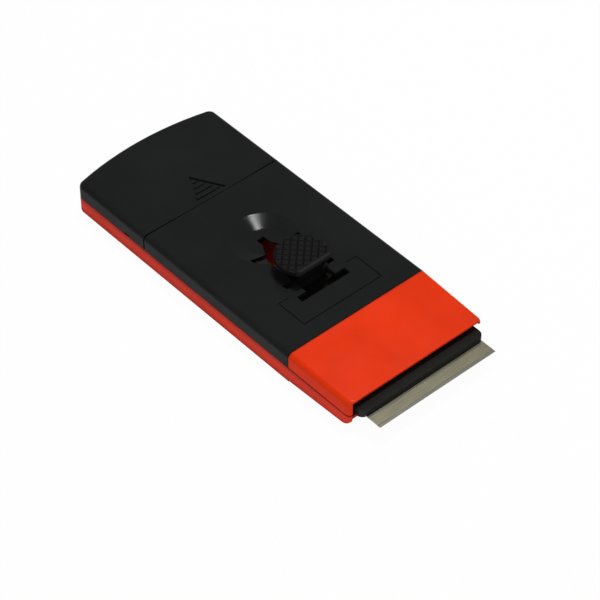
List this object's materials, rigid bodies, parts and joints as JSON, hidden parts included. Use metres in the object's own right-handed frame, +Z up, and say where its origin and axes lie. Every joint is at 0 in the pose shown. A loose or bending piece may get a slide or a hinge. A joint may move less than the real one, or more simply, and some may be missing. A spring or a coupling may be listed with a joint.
{
  "type": "razor blade scraper",
  "caption": "Flat pocket scraper with a retracting single-edge blade, a latched thumb button in a notched slot and a sliding cover over a store of spare blades.",
  "frame": {"origin": "centre of the box on the surface that the scraper lies on", "axes": "+X towards the blade, +Y across the handle to the left of the blade, +Z up from the underside"},
  "size_m": [0.117, 0.0462, 0.0151],
  "materials": {
    "red_plastic": "moulded, satin",
    "black_plastic": "moulded, satin",
    "blade_steel": "ground",
    "back_steel": "folded strip"
  },
  "bodies": {
    "handle": {"lower_shell": "red_plastic", "nose_cover": "red_plastic", "top_cover": "black_plastic", "spare_blade_1": "blade_steel", "spare_blade_2": "blade_steel", "spare_blade_3": "blade_steel", "spare_blade_4": "blade_steel", "spare_blade_5": "blade_steel", "spare_back_1": "back_steel", "spare_back_2": "back_steel", "spare_back_3": "back_steel", "spare_back_4": "back_steel", "spare_back_5": "back_steel"},
    "carrier": {"blade_slider": "black_plastic", "blade_clamp": "black_plastic", "lock_latch": "black_plastic", "blade": "blade_steel", "blade_back": "back_steel"},
    "button": {"thumb_button": "black_plastic"},
    "rear_lid": {"rear_cover": "black_plastic"}
  },
  "joints": [
    {"name": "blade_slide", "type": "slide", "parent": "handle", "child": "carrier", "axis": [1, 0, 0], "range_m": [-0.0125, 0.0057]},
    {"name": "button_press", "type": "slide", "parent": "carrier", "child": "button", "axis": [0, 0, -1], "range_m": [0, 0.0012], "stiffness_N_per_m": 1500, "deforming": ["lock_latch"]},
    {"name": "rear_cover_slide", "type": "slide", "parent": "handle", "child": "rear_lid", "axis": [-1, 0, 0], "range_m": [0, 0.033]}
  ]
}
